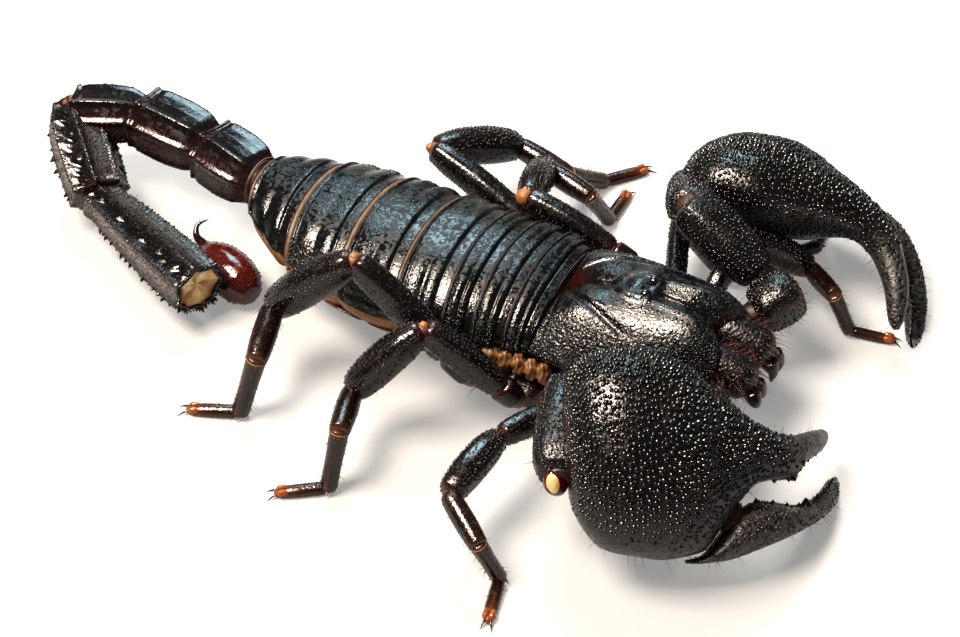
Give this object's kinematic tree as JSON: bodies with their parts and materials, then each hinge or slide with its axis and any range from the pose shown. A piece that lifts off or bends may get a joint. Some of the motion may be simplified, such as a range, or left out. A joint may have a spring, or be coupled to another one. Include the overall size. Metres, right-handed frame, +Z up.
{
  "type": "scorpion museum model",
  "caption": "Life-size still model of a large black burrowing scorpion standing on its feet, with heavy granular claws held ahead and the tail laid round on its side.",
  "frame": {"origin": "middle of the footprint's bounding box, on the floor the feet stand on", "axes": "+X towards the head along the body, +Y to the animal's left, +Z up"},
  "size_m": [0.1202, 0.084, 0.0251],
  "materials": {
    "shell": "polished blue-black cuticle, granular on the flanks",
    "claw_shell": "reddish black cuticle packed with rounded glossy granules",
    "leg_shell": "dark brown glossy cuticle with sparse bristles",
    "foot_shell": "red-brown satin cuticle",
    "membrane": "soft tan membrane with fine pleats",
    "red_shell": "deep red-brown glossy cuticle",
    "eye_lens": "polished black lens"
  },
  "bodies": {
    "root": {"carapace": "shell", "coxae": "red_shell", "trunk": "membrane", "tergite_1": "shell", "tergite_2": "shell", "tergite_3": "shell", "tergite_4": "shell", "tergite_5": "shell", "tergite_6": "shell", "tergite_7": "shell", "metasoma_1": "shell", "metasoma_2": "shell", "metasoma_3": "shell", "metasoma_4": "shell", "metasoma_5": "shell", "telson_vesicle": "red_shell", "telson_aculeus": "shell", "eye_right": "eye_lens", "chelicera_right": "red_shell", "pectine_right": "membrane", "leg_right_1_femur": "leg_shell", "leg_right_1_patella": "leg_shell", "leg_right_1_foot": "foot_shell", "leg_right_2_femur": "leg_shell", "leg_right_2_patella": "leg_shell", "leg_right_2_foot": "foot_shell", "leg_right_3_femur": "leg_shell", "leg_right_3_patella": "leg_shell", "leg_right_3_foot": "foot_shell", "leg_right_4_femur": "leg_shell", "leg_right_4_patella": "leg_shell", "leg_right_4_foot": "foot_shell", "pedipalp_right_trochanter": "claw_shell", "pedipalp_right_femur": "claw_shell", "pedipalp_right_patella": "claw_shell", "pedipalp_right_hand": "claw_shell", "pedipalp_right_movable_finger": "claw_shell", "eye_left": "eye_lens", "chelicera_left": "red_shell", "pectine_left": "membrane", "leg_left_1_femur": "leg_shell", "leg_left_1_patella": "leg_shell", "leg_left_1_foot": "foot_shell", "leg_left_2_femur": "leg_shell", "leg_left_2_patella": "leg_shell", "leg_left_2_foot": "foot_shell", "leg_left_3_femur": "leg_shell", "leg_left_3_patella": "leg_shell", "leg_left_3_foot": "foot_shell", "leg_left_4_femur": "leg_shell", "leg_left_4_patella": "leg_shell", "leg_left_4_foot": "foot_shell", "pedipalp_left_trochanter": "claw_shell", "pedipalp_left_femur": "claw_shell", "pedipalp_left_patella": "claw_shell", "pedipalp_left_hand": "claw_shell", "pedipalp_left_movable_finger": "claw_shell"}
  },
  "joints": []
}
